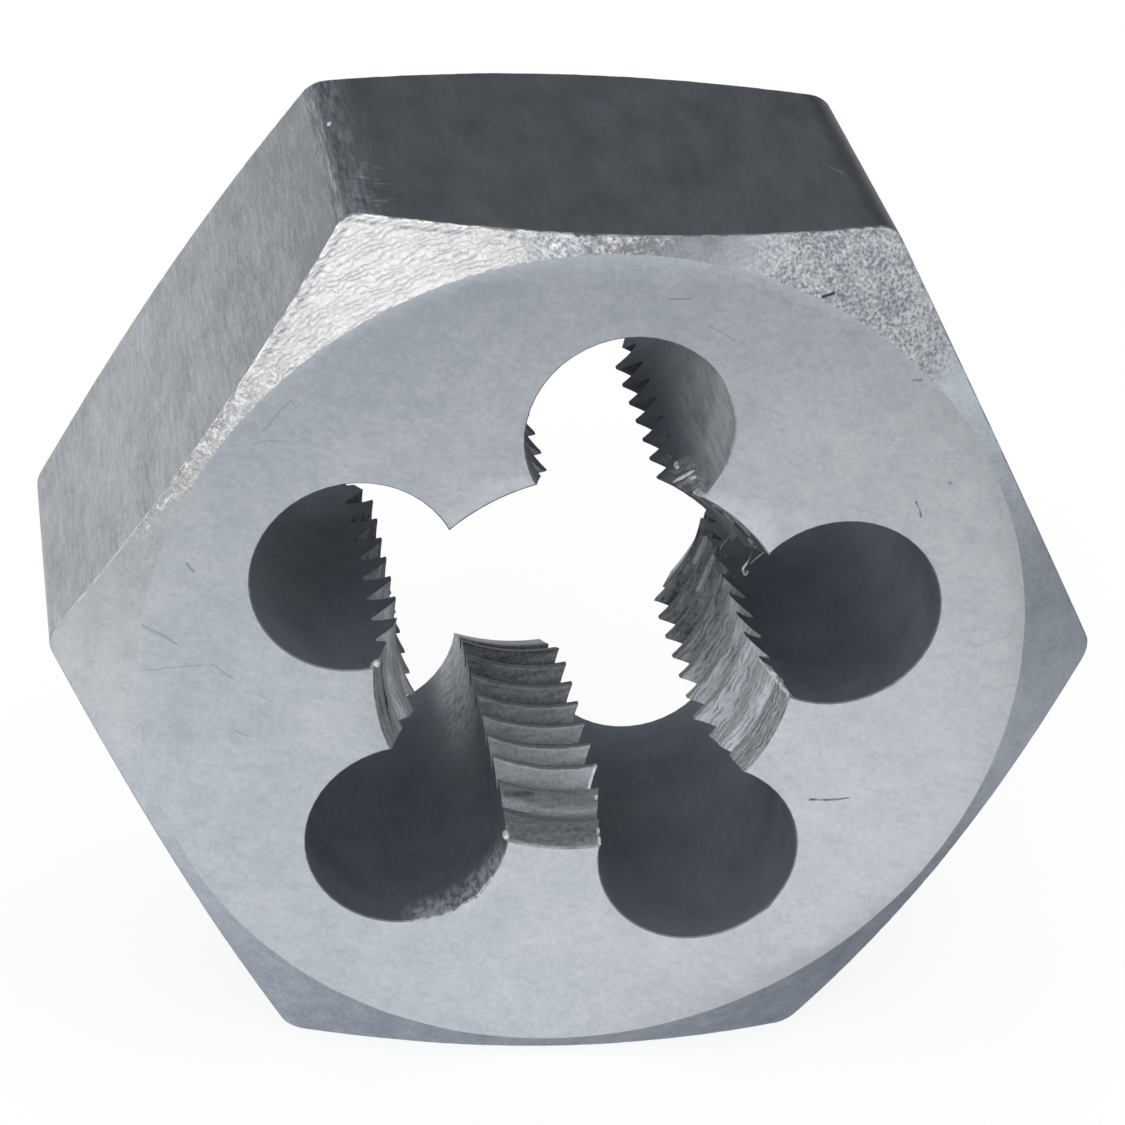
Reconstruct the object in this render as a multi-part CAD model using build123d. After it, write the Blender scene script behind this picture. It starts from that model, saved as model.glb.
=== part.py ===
from build123d import *
import os
from math import radians, tan

# Hex rethreading die, M12 x 1.25 right hand, one piece of hardened tool steel.
# Millimetres. The die stands on one of its six wrench flats: the thread axis runs along Y
# through the origin, the front face looks along -Y, and +Z points up through the opposite flat.
# It is drawn lying down with the front face up, and stood on its flat at the end.

# Blank: hexagon bar, cut off and faced
ACROSS_FLATS = 26.99
THICKNESS = 12.7
CORNER_RADIUS = 0.8

# Turned 30 degree chamfer on both faces, leaving a round face just inside the flats
FACE_INSET = 0.45
CHAMFER_ANGLE = 30.0

# Thread cut in the five lands
THREAD_DIAMETER = 12.0
THREAD_PITCH = 1.25
THREAD_ANGLE = 60.0
ROOT_FLAT = 0.16
CREST_FLAT = 0.235
THREAD_START = 230.0

# Tapered lead at both ends, which starts the die on a damaged thread
LEAD_RELIEF = 0.21
LEAD_DEPTH = 2.5

# Chip holes, drilled through beside the thread and open to it
CHIP_HOLES = 5
CHIP_HOLE_DIAMETER = 6.02
CHIP_HOLE_BITE = 0.75
CHIP_HOLE_START = 85.8

# How far a cutting solid runs past the surface that it cuts
OVERRUN = 0.1

apothem = ACROSS_FLATS / 2
half_thickness = THICKNESS / 2
face_radius = apothem - FACE_INSET
root_radius = THREAD_DIAMETER / 2
flank_spread = 2 * tan(radians(THREAD_ANGLE / 2))
crest_radius = root_radius - (THREAD_PITCH - ROOT_FLAT - CREST_FLAT) / flank_spread
lead_radius = root_radius + LEAD_RELIEF
chip_radius = CHIP_HOLE_DIAMETER / 2
chip_circle_radius = crest_radius + chip_radius - CHIP_HOLE_BITE


def hexagon_blank():
    """Hexagon bar with softly rounded corners, with two of its flats across Y."""
    outline = RegularPolygon(radius=apothem, side_count=6, major_radius=False)
    outline = fillet(outline.vertices(), CORNER_RADIUS)
    return extrude(outline, amount=half_thickness, both=True)


def turned_envelope():
    """Solid of revolution that leaves the round faces and the chamfered corners.

    The chamfer's straight side is drawn as a spline, which gives the edges where it meets
    the wrench flats as splines too.
    """
    outer_radius = ACROSS_FLATS
    chamfer_drop = (outer_radius - face_radius) * tan(radians(CHAMFER_ANGLE))
    shoulder = half_thickness - chamfer_drop
    half_section = [
        Line((0, half_thickness), (face_radius, half_thickness)),
        Bezier((face_radius, half_thickness), (outer_radius, shoulder)),
        Line((outer_radius, shoulder), (outer_radius, -shoulder)),
        Bezier((outer_radius, -shoulder), (face_radius, -half_thickness)),
        Line((face_radius, -half_thickness), (0, -half_thickness)),
        Line((0, -half_thickness), (0, half_thickness)),
    ]
    return revolve(Plane.XZ * make_face(half_section), axis=Axis.Z)


def bore_with_leads():
    """Tapping bore at the crest circle, opened by a tapered lead at each face."""
    bore = Cylinder(crest_radius, THICKNESS + 2 * OVERRUN)
    taper = (lead_radius - crest_radius) / LEAD_DEPTH
    lead_length = LEAD_DEPTH + OVERRUN
    mouth_radius = lead_radius + taper * OVERRUN
    lead = Cone(crest_radius, mouth_radius, lead_length)
    top_lead = Pos(0, 0, half_thickness + OVERRUN - lead_length / 2) * lead
    return bore + top_lead + top_lead.mirror(Plane.XY)


def chip_holes():
    """Round holes drilled through on a circle, each breaking into the bore."""
    drill = Cylinder(chip_radius, THICKNESS + 2 * OVERRUN)
    places = PolarLocations(chip_circle_radius, CHIP_HOLES, start_angle=CHIP_HOLE_START)
    return [place * drill for place in places]


def threaded_block():
    """Block wider than the die, bored to the crest circle and threaded right through.

    Its helical groove has the thread's V with a flat root as its axial section.
    """
    turns = 2 * (int(half_thickness / THREAD_PITCH) + 2)
    height = turns * THREAD_PITCH
    inner_radius = crest_radius - OVERRUN
    mouth = ROOT_FLAT + flank_spread * (root_radius - inner_radius)
    section = Polyline(
        (inner_radius, -mouth / 2),
        (root_radius, -ROOT_FLAT / 2),
        (root_radius, ROOT_FLAT / 2),
        (inner_radius, mouth / 2),
        close=True,
    )
    helix = Helix(pitch=THREAD_PITCH, height=height, radius=crest_radius)
    groove = sweep(Plane.XZ * make_face(section), path=helix, is_frenet=True)
    groove = Rot(0, 0, THREAD_START) * Pos(0, 0, -height / 2) * groove
    block_height = height + 2 * THREAD_PITCH
    block = Cylinder(ACROSS_FLATS, block_height) - Cylinder(crest_radius, block_height)
    return block - groove


def hex_die():
    die = hexagon_blank() & turned_envelope()
    die -= bore_with_leads()
    for hole in chip_holes():
        die -= hole
    die &= threaded_block()
    return Rot(90, 0, 0) * die


os.makedirs("parts", exist_ok=True)
export_step(hex_die(), "parts/hex_die.step")
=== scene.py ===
import math

import bmesh
import bpy
import numpy as np
from mathutils import Matrix, Vector, noise
from mathutils.geometry import delaunay_2d_cdt


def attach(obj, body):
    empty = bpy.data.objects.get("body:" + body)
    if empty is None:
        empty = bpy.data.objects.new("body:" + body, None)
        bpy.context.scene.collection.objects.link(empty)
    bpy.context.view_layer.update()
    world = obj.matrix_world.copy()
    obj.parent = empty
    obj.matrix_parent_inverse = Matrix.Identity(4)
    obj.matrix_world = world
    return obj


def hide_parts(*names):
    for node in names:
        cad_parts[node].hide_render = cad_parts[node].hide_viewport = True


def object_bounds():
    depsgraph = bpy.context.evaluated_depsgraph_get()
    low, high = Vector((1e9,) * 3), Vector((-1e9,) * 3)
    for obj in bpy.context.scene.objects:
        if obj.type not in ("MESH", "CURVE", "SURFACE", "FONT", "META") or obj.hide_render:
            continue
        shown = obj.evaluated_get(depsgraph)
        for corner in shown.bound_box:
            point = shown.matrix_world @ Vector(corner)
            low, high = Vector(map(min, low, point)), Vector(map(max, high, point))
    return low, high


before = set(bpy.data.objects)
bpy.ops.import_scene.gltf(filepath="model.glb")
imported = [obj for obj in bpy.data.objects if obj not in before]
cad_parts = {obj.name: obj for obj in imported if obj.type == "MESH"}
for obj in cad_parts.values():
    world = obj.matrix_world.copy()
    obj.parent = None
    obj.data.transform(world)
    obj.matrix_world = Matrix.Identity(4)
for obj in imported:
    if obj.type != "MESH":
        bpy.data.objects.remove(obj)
cad_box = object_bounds()

# Camera
# A long lens close to the die looks down on its front face from a little to the left, and
# is turned about its own axis so that the die leans in the picture as it does in the photo.
mm = 0.001
LENS = 129.9
SENSOR_WIDTH = 36
AZIMUTH = math.radians(11.19)
ELEVATION = math.radians(27.48)
ROLL = math.radians(5.73)
AIM = Vector((-1.034, -6.35, 3.406)) * mm
DISTANCE = 116.1 * mm
NEAR_LIMIT = 1 * mm
FAR_LIMIT = 10

camera = bpy.data.objects.new("camera", bpy.data.cameras.new("camera"))
bpy.context.scene.collection.objects.link(camera)
bpy.context.scene.camera = camera
camera.data.lens = LENS
camera.data.sensor_width = SENSOR_WIDTH
camera.data.clip_start = NEAR_LIMIT
camera.data.clip_end = FAR_LIMIT
turn = (
    Matrix.Rotation(-AZIMUTH, 4, "Z")
    @ Matrix.Rotation(math.pi / 2 - ELEVATION, 4, "X")
    @ Matrix.Rotation(ROLL, 4, "Z")
)
camera.matrix_world = Matrix.Translation(AIM) @ turn @ Matrix.Translation((0, 0, DISTANCE))
bpy.context.scene.view_settings.view_transform = "Standard"

# Floor
# A sheet of plain white board under the die. It takes the die's soft shadow, and in the glow that
# the steel reflects it is brightest in a painted pool of light round the die.
FLOOR_SIZE = 6.0
FLOOR_PAINT = (0.88, 0.88, 0.88, 1)

# Where it is looked at, straight or in the steel, the board is mostly glow and partly paint,
# so that it shows white round the die and keeps its shadow
FLOOR_GLOW = 1.13
GLOW_SHARE_SEEN = 0.72
GLOW_SHARE_MIRRORED = 0.65

# Where the steel sees the board darker, in millimetres, and by how much, all painted shade in its
# glow: outside the pool of light, in a band before the die's right half, and far behind on the
# right
POOL_MIDDLE = (-13.0, -9.0)
POOL_RADII = (22.0, 68.0)
POOL_BACK = (10, 70)
POOL_DROP = 0.72
SHADE_LEFT = (-2, 12)
SHADE_FRONT = (-14, -8)
SHADE_MIDDLE = 8.0
SHADE_HALF_WIDTH = (8, 20)
SHADE_DROP = 0.45
FAR_RIGHT = (20, 45)
FAR_BACK = (20, 60)
FAR_DROP = 0.75


class Tone:
    """A value, colour or vector inside a material. Arithmetic on values adds Math nodes."""

    def __init__(self, tree, socket=None):
        self.tree = tree
        self.socket = socket

    def node(self, kind, settings=None, inputs=None, output=0):
        """Add a node, with its settings first and then its values and links."""
        made = self.tree.nodes.new(kind)
        for name, value in (settings or {}).items():
            setattr(made, name, value)
        for key, value in (inputs or {}).items():
            if isinstance(value, Tone):
                self.tree.links.new(value.socket, made.inputs[key])
            else:
                made.inputs[key].default_value = value
        return Tone(self.tree, made.outputs[output] if made.outputs else None)

    def other(self, output):
        """Another output of the node that this tone comes from."""
        return Tone(self.tree, self.socket.node.outputs[output])

    def math(self, operation, first, second=0.0):
        return self.node("ShaderNodeMath", {"operation": operation}, {0: first, 1: second})

    def vector(self, operation, first, second, output=0):
        """Vector Math on two places or directions, or on one and a number to scale it by."""
        inputs = {0: first, "Scale" if operation == "SCALE" else 1: second}
        return self.node("ShaderNodeVectorMath", {"operation": operation}, inputs, output)

    def __add__(self, more):
        return self.math("ADD", self, more)

    def __radd__(self, more):
        return self.math("ADD", more, self)

    def __sub__(self, less):
        return self.math("SUBTRACT", self, less)

    def __rsub__(self, start):
        return self.math("SUBTRACT", start, self)

    def __mul__(self, factor):
        return self.math("MULTIPLY", self, factor)

    def __rmul__(self, factor):
        return self.math("MULTIPLY", factor, self)

    def __truediv__(self, divisor):
        return self.math("DIVIDE", self, divisor)

    def __pow__(self, power):
        return self.math("POWER", self, power)

    def at_most(self, limit):
        return self.math("MINIMUM", self, limit)

    def ramp(self, low, high):
        """Smooth step from 0 at the low value to 1 at the high one."""
        return self.node(
            "ShaderNodeMapRange",
            {"interpolation_type": "SMOOTHSTEP"},
            {"Value": self, "From Min": low, "From Max": high},
        )

    def between(self, rise, fall):
        """Smoothly up from 0 to 1 over the first pair of values and down over the second."""
        return self.ramp(*rise) * (1 - self.ramp(*fall))

    def near(self, middle, full, end):
        """1 within the full distance of a middle value, and 0 from the end distance on."""
        return 1 - self.math("ABSOLUTE", self - middle).ramp(full, end)

    def blend(self, other, share):
        """This tone where the share is 0, turning into the other one where it is 1."""
        return self + (other - self) * share


def empty_tree(owner):
    owner.use_nodes = True
    owner.node_tree.nodes.clear()
    return Tone(owner.node_tree)


def millimetres(tree):
    """Place on the surface in the frame's own axes, in millimetres, and its three parts."""
    place = tree.node("ShaderNodeTexCoord", output="Object")
    place = tree.vector("SCALE", place, 1 / mm)
    x = tree.node("ShaderNodeSeparateXYZ", None, {0: place})
    return place, x, x.other(1), x.other(2)


def rays_that_look(tree):
    """Light paths of the camera, and of mirror and clear surfaces."""
    camera_rays = tree.node("ShaderNodeLightPath", output="Is Camera Ray")
    glossy_rays = camera_rays.other("Is Glossy Ray")
    clear_rays = camera_rays.other("Is Transmission Ray")
    return camera_rays, glossy_rays, clear_rays


def shade(share, first, second):
    """The first colour where the share is 0, turning into the second where it is 1."""
    first, second = (c if isinstance(c, Tone) else (*c, 1) for c in (first, second))
    colour_mix = {"data_type": "RGBA", "clamp_factor": True}
    return share.node("ShaderNodeMix", colour_mix, {0: share, 6: first, 7: second}, 2)


floor_bottom = cad_box[0].z
half = FLOOR_SIZE / 2
floor_mesh = bpy.data.meshes.new("floor")
floor_corners = [(-half, -half), (half, -half), (half, half), (-half, half)]
floor_mesh.from_pydata([(x, y, floor_bottom) for x, y in floor_corners], [], [(0, 1, 2, 3)])
floor = bpy.data.objects.new("floor", floor_mesh)
bpy.context.scene.collection.objects.link(floor)

board = bpy.data.materials.new("white_board")
tree = empty_tree(board)
seen, mirrored, clear = rays_that_look(tree)
mirrored = (mirrored + clear).at_most(1)
_, x, y, _ = millimetres(tree)
across = x - POOL_MIDDLE[0]
along = y - POOL_MIDDLE[1]
from_pool = (across * across + along * along) ** 0.5
# Painted shade in the glow that the steel reflects: outside the pool of light, before the die's
# right half, and far behind on the right
outside = from_pool.ramp(*POOL_RADII) * (1 - y.ramp(*POOL_BACK))
shaded = x.ramp(*SHADE_LEFT) * x.near(SHADE_MIDDLE, *SHADE_HALF_WIDTH) * y.ramp(*SHADE_FRONT)
far = x.ramp(*FAR_RIGHT) * y.ramp(*FAR_BACK)
dimmed = (outside * POOL_DROP + shaded * SHADE_DROP + far * FAR_DROP).at_most(1)
matt = tree.node("ShaderNodeBsdfDiffuse", None, {"Color": FLOOR_PAINT})
glow_colour = shade(dimmed * mirrored, (1, 1, 1), (0, 0, 0))
glow = tree.node("ShaderNodeEmission", None, {"Color": glow_colour, "Strength": FLOOR_GLOW})
share = seen * GLOW_SHARE_SEEN + mirrored * GLOW_SHARE_MIRRORED
mixed = tree.node("ShaderNodeMixShader", None, {"Fac": share, 1: matt, 2: glow})
tree.node("ShaderNodeOutputMaterial", None, {"Surface": mixed})
floor_mesh.materials.append(board)

# Backdrop and light
# White all round, with a large soft lamp beside the camera, and a black cloth behind and
# above the die, out of the picture, that its upper flat and its holes reflect.
ROOM_LIGHT = 0.72
LAMP_AZIMUTH = math.radians(-26)
LAMP_ELEVATION = math.radians(27)
LAMP_DISTANCE = 0.8
LAMP_SIZE = 0.42

# How many times brighter than plain white the lamp is
LAMP_BRIGHTNESS = 2.6

CLOTH_RADIUS = 0.4
CLOTH_HALF_WIDTH = 0.6
CLOTH_FROM = math.radians(5)
CLOTH_TO = math.radians(56)
CLOTH_STEPS = 24
CLOTH_COLOUR = (0.13, 0.135, 0.145, 1)

world = bpy.data.worlds.new("white_room")
bpy.context.scene.world = world
tree = empty_tree(world)
seen, mirrored, clear = rays_that_look(tree)
directly = (seen + mirrored + clear).at_most(1)
room = tree.node("ShaderNodeBackground", None, {"Color": (1, 1, 1, 1), "Strength": ROOM_LIGHT})
white = tree.node("ShaderNodeBackground", None, {"Color": (1, 1, 1, 1), "Strength": 1.0})
mixed = tree.node("ShaderNodeMixShader", None, {"Fac": directly, 1: room, 2: white})
tree.node("ShaderNodeOutputWorld", None, {"Surface": mixed})

lamp = bpy.data.lights.new("key_lamp", "AREA")
lamp.shape = "SQUARE"
lamp.size = LAMP_SIZE
lamp.energy = LAMP_BRIGHTNESS * math.pi * LAMP_SIZE**2
lamp_holder = bpy.data.objects.new("key_lamp", lamp)
bpy.context.scene.collection.objects.link(lamp_holder)
away = Vector((0, -math.cos(LAMP_ELEVATION), math.sin(LAMP_ELEVATION)))
away = Matrix.Rotation(LAMP_AZIMUTH, 3, "Z") @ away
lamp_holder.location = away * LAMP_DISTANCE
lamp_holder.rotation_mode = "QUATERNION"
lamp_holder.rotation_quaternion = away.to_track_quat("Z", "Y")
lamp_holder.visible_camera = False

cloth_points = []
for step in range(CLOTH_STEPS + 1):
    a = CLOTH_FROM + (CLOTH_TO - CLOTH_FROM) * step / CLOTH_STEPS
    for side in (-CLOTH_HALF_WIDTH, CLOTH_HALF_WIDTH):
        height = floor_bottom + CLOTH_RADIUS * math.sin(a)
        cloth_points.append((side, CLOTH_RADIUS * math.cos(a), height))
cloth_faces = [(2 * i, 2 * i + 1, 2 * i + 3, 2 * i + 2) for i in range(CLOTH_STEPS)]
cloth_mesh = bpy.data.meshes.new("black_cloth")
cloth_mesh.from_pydata(cloth_points, [], cloth_faces)
cloth = bpy.data.objects.new("black_cloth", cloth_mesh)
bpy.context.scene.collection.objects.link(cloth)
cloth.visible_camera = False
cloth.visible_diffuse = False
cloth.visible_shadow = False
black = bpy.data.materials.new("black_cloth")
tree = empty_tree(black)
weave = tree.node("ShaderNodeEmission", None, {"Color": CLOTH_COLOUR, "Strength": 1.0})
tree.node("ShaderNodeOutputMaterial", None, {"Surface": weave})
cloth_mesh.materials.append(black)

# Blank
# Hexagon bar of tool steel, cut off and faced, with a 30 degree chamfer turned on both ends.
# The turning tore the steel on the front's upper left and stippled its upper right, and
# left small burrs where the chamfer meets the flats. The drawn flats are smooth.
ACROSS_FLATS = (cad_box[1].z - cad_box[0].z) / mm
THICKNESS = (cad_box[1].y - cad_box[0].y) / mm
CORNER_RADIUS = 0.8
CORNER_HALF_ANGLE = math.radians(1.8)
FACE_INSET = 0.45
CHAMFER_SLOPE = math.tan(math.radians(30))
CHAMFER_NORMAL = (0.5, 0.87)
FACE_EDGE_BREAK = 0.02
FACE_EDGE_DEPTH = 0.01
LEAST_DEPTH = 0.008
OUTER_EDGE_BREAK = 0.045
LEAST_UNDER_BURR = 0.03
CHAMFER_STEPS = (22, 10)
FLAT_SUPPORTS = (0.08, 0.3)
CORNER_STEPS = 12
SIDE_STEPS = 118

# Waves of the face's rim, and of the chamfer and its outer edge where sound and where torn
RIM_WAVE = 0.012
SOUND_WAVE = 0.006
TORN_CHAMFER_WAVE = 0.012
TORN_EDGE_WAVE = 0.036

# Degrees round the axis over which the torn part of the front chamfer begins and ends
TORN_BEGINS = (90, 100)
TORN_ENDS = (154, 168)

# Where a finish lies round the axis, in degrees: its middle, and to each side of that how far
# it is full and where it ends
TORN_PART = (121, 16.3, 21.6)
STIPPLED_LEFT = (147, 7.3, 11.5)
STIPPLED_TOP = (96, 6.3, 10.9)
STIPPLED_RIGHT = (60, 9.9, 17.3)
DARKER_TOP = (85, 4.4, 12.0)
# The lit sides of the chamfers are painted light, and their underside is painted shade
LIT_LEFT = (176, 18.2, 41.4)
LIT_RIGHT = (48, 14.1, 36.9)
GREY_LEFT = (160, 14.1, 41.4)
SHADED_UNDERSIDE = (285, 25.8, 72.5)
FLECKED_TOP = (92, 5.1, 8.1)
FLECKED_LEFT = (150, 9.9, 14.5)
# The flats' upper right corner is painted shade
SHADED_RIGHT_CORNER = (60, 1.15, 2.56)
BURRED_EDGE = (140, 32.9, 43.9)

# Burr flecks: from and to which angle round the axis, and how far they stand out
FLECKS = ((142, 163, 0.07), (92, 99, 0.07), (60, 71, 0.05), (100, 142, 0.03), (163, 176, 0.03))

# Single marks: both ends and the width
NICK = ((5.6, -6.3, 11.85), (5.93, -6.18, 11.92), 0.065)
SPECK = ((-7.58, 1.7, 13.45), (-7.6, 1.55, 13.45), 0.09)
FLAT_SCRATCH = ((6.8, -0.8, 13.495), (7.05, -1.18, 13.495), 0.09)

# Darkest and lightest colour of each finish, and single colours
TORN_COLOURS = ((0.205, 0.222, 0.245), (0.825, 0.811, 0.795))
TURNED_COLOURS = ((0.185, 0.215, 0.27), (0.74, 0.79, 0.85))
DRAWN_COLOURS = ((0.19, 0.212, 0.245), (0.74, 0.78, 0.83))
RUBBED_COLOURS = ((0.15, 0.16, 0.175), (0.74, 0.75, 0.76))
NICK_COLOUR = (0.06, 0.06, 0.07)
# Colour of the painted shade on the flats' upper right corner
CORNER_SHADE_COLOUR = (0.09, 0.095, 0.105)

apothem = ACROSS_FLATS / 2
depth_half = THICKNESS / 2
face_radius = apothem - FACE_INSET


class Skin:
    """Points and faces of the die's surface, gathered patch by patch, in millimetres."""

    def __init__(self):
        self.points = []
        self.faces = []
        self.zones = []

    def add(self, points):
        first = len(self.points)
        self.points.extend(tuple(map(float, p)) for p in points)
        return list(range(first, len(self.points)))

    def face(self, corners, zone):
        self.faces.append(tuple(corners))
        self.zones.append(zone)

    def grid(self, rows, zone):
        """Quads between successive rows of equal length; the zone may depend on the quad."""
        numbers = [self.add(row) for row in rows]
        for r, (near, far) in enumerate(zip(numbers, numbers[1:])):
            for c in range(len(near) - 1):
                corners = (near[c], near[c + 1], far[c + 1], far[c])
                self.face(corners, zone(r, c) if callable(zone) else zone)
        return numbers

    def gap(self, first, second):
        return (Vector(self.points[first]) - Vector(self.points[second])).length

    def strip(self, left, right, zone):
        """Triangles between two lines of points that run the same way."""
        i = j = 0
        while i < len(left) - 1 or j < len(right) - 1:
            ahead_left = ahead_right = math.inf
            if i < len(left) - 1:
                ahead_left = self.gap(left[i + 1], right[j])
            if j < len(right) - 1:
                ahead_right = self.gap(right[j + 1], left[i])
            if ahead_left < ahead_right:
                self.face((left[i], left[i + 1], right[j]), zone)
                i += 1
            else:
                self.face((left[i], right[j + 1], right[j]), zone)
                j += 1


def polar(radius, angle, y):
    """Point at a radius and an angle round the die's axis, and a place y along it."""
    return (radius * math.cos(angle), y, radius * math.sin(angle))


def uneven(place, scale, octaves=3):
    """Smooth noise about zero, so many ups and downs to the millimetre of its own space."""
    return noise.fractal(Vector(place) * scale, 0.6, 2.0, octaves)


def progress(value, start, finish):
    """How far a value has come on the way from start to finish, from 0 to 1."""
    return max(0.0, min(1.0, (value - start) / (finish - start)))


def hexagon_radius(angle):
    """Distance from the axis to the rounded hexagon, with a flat's normal at 90 degrees."""
    turned = (angle - math.pi / 2 + math.pi / 6) % (math.pi / 3) - math.pi / 6
    along = abs(turned)
    arc_start = math.atan2((apothem - CORNER_RADIUS) * math.tan(math.pi / 6), apothem)
    if along <= arc_start:
        return apothem / math.cos(along)
    centre = (apothem - CORNER_RADIUS) / math.cos(math.pi / 6)
    lean = math.pi / 6 - along
    reach = centre * math.cos(lean)
    return reach + math.sqrt(reach**2 - centre**2 + CORNER_RADIUS**2)


def outer_angles():
    """Angles round the hexagon, closer together on its rounded corners."""
    angles = []
    side_angle = math.pi / 3 - 2 * CORNER_HALF_ANGLE
    for side in range(6):
        corner = side * math.pi / 3
        angles += [corner + CORNER_HALF_ANGLE * t for t in np.linspace(-1, 1, CORNER_STEPS + 1)]
        steps = np.linspace(0, 1, SIDE_STEPS + 1)[1:-1]
        angles += [corner + CORNER_HALF_ANGLE + side_angle * t for t in steps]
    return angles


def torn_share(angle):
    """How far the front chamfer is torn there: fully on its upper left."""
    degrees = math.degrees(angle) % 360
    return min(progress(degrees, *TORN_BEGINS), 1 - progress(degrees, *TORN_ENDS))


def fleck_height(angle):
    """How far a burr stands out from the front chamfer's outer edge."""
    degrees = math.degrees(angle) % 360
    size = max((height for start, end, height in FLECKS if start < degrees < end), default=0)
    return size * max(0.0, 4 * uneven(polar(14, angle, 3), 6.0, 2))


def chamfer_profile(angle, end):
    """Radius and depth from a face's rim over its chamfer to the flat; end 0 is the front."""
    front = 1 - end
    torn = front * torn_share(angle)
    reach = hexagon_radius(angle)
    rim = face_radius + RIM_WAVE * uneven(polar(9, angle, 40 * end), 0.9)
    worn = OUTER_EDGE_BREAK * (1 + 0.6 * uneven(polar(30, angle, 40 * end + 9), 1.1))
    ragged = (SOUND_WAVE + TORN_EDGE_WAVE * torn) * uneven(polar(14, angle, 7 - end), 3.2)
    rough = SOUND_WAVE + TORN_CHAMFER_WAVE * torn
    drop = (reach - rim) * CHAMFER_SLOPE
    burr = front * min(fleck_height(angle), drop - LEAST_UNDER_BURR)
    profile = [(rim - FACE_EDGE_BREAK, 0)]
    for t in np.linspace(0, 1, CHAMFER_STEPS[end] + 1):
        radius = rim + (reach - 0.8 * worn - rim) * t
        depth = FACE_EDGE_DEPTH + (drop - 0.5 * worn - FACE_EDGE_DEPTH) * t + ragged * t**8
        rise = rough * uneven(polar(radius * 2, angle, 30 * end), 1.1) * math.sin(math.pi * t)
        radius += CHAMFER_NORMAL[0] * rise
        depth -= CHAMFER_NORMAL[1] * rise
        profile.append((radius, max(depth, LEAST_DEPTH)))
    drop += ragged
    return profile + [(reach - 0.25 * worn - 0.2 * burr, drop - burr), (reach, drop + worn)]


def outer_profile(angle):
    """Radius and depth from the front face's rim over chamfer and flat to the back's."""
    reach = hexagon_radius(angle)
    front = chamfer_profile(angle, 0)
    back = [(r, THICKNESS - y) for r, y in reversed(chamfer_profile(angle, 1))]
    near_front = [(reach, front[-1][1] + s) for s in FLAT_SUPPORTS]
    near_back = [(reach, back[0][1] - s) for s in reversed(FLAT_SUPPORTS)]
    return front + near_front + near_back + back


finishes = []


def new_finish(name):
    """Material for one kind of surface: its number on the mesh, and the place on the die."""
    material = bpy.data.materials.new(name)
    finishes.append(material)
    return len(finishes) - 1, *millimetres(empty_tree(material))


def cloudiness(place, cells, detail=3.0, roughness=0.55):
    """Noise from 0 to 1, so many cells to the millimetre all round or along each axis."""
    if isinstance(cells, tuple):
        place = place.vector("MULTIPLY", place, cells)
        cells = 1.0
    inputs = {"Vector": place, "Scale": cells, "Detail": detail, "Roughness": roughness}
    return place.node("ShaderNodeTexNoise", None, inputs)


def from_axis(x, z):
    """Distance from the die's axis."""
    return (x * x + z * z) ** 0.5


def around_axis(x, y, z, radial, along):
    """Place for lines that run round the thread's axis, drawn out along the circle."""
    distance = from_axis(x, z)
    out = x / distance * along + distance * radial
    return x.node("ShaderNodeCombineXYZ", None, {0: out, 1: y * radial, 2: z / distance * along})


def wavy_lines(place, across, count, drift):
    """Wandering lines, 1 in their middle, so many to the millimetre of a distance across."""
    turns = across * count + cloudiness(place, 1.6) * drift
    return place.math("SINE", turns * (2 * math.pi)) * 0.5 + 0.5


def out_to(x, z, degrees):
    """Distance from the die's axis in one direction round it."""
    a = math.radians(degrees)
    return x * math.cos(a) + z * math.sin(a)


def sector(x, z, middle, full, end):
    """Mask of a direction round the axis: 1 within the full angle of it, 0 from the end on."""
    facing = out_to(x, z, middle) / from_axis(x, z)
    return facing.ramp(math.cos(math.radians(end)), math.cos(math.radians(full)))


def near_line(place, start, finish, width):
    """Mask of a thin straight mark between two points on the die, soft at its edges."""
    run = Vector(finish) - Vector(start)
    offset = place.vector("SUBTRACT", place, start)
    share = place.vector("DOT_PRODUCT", offset, run / run.length_squared, "Value")
    share = place.node("ShaderNodeClamp", None, {0: share})
    foot = place.vector("SCALE", run, share)
    distance = place.vector("DISTANCE", offset, foot, "Value")
    return 1 - distance.ramp(width * 0.35, width)


def finish_steel(colour, roughness, height, depth, metallic=1.0):
    """Bare steel with a relief so many millimetres deep."""
    relief = {"Strength": 1.0, "Distance": depth * mm, "Height": height}
    inputs = {
        "Base Color": colour,
        "Metallic": metallic,
        "Roughness": roughness,
        "Normal": colour.node("ShaderNodeBump", None, relief),
    }
    surface = colour.node("ShaderNodeBsdfPrincipled", None, inputs)
    colour.node("ShaderNodeOutputMaterial", None, {"Surface": surface})


# Turned chamfers: cracked where torn, speckled where stippled, with bright flecks at the edge.
# Painted light makes them lighter on the left and right and, in part, paler where torn; painted
# shade darkens them underneath
CHAMFER, place, x, y, z = new_finish("turned_steel")
front = 1 - y.ramp(-2, 2)
torn = sector(x, z, *TORN_PART) * front
stippled = sector(x, z, *STIPPLED_TOP) + sector(x, z, *STIPPLED_RIGHT)
stippled = (stippled + sector(x, z, *STIPPLED_LEFT) * 0.6) * front * (1 - torn)
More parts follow.
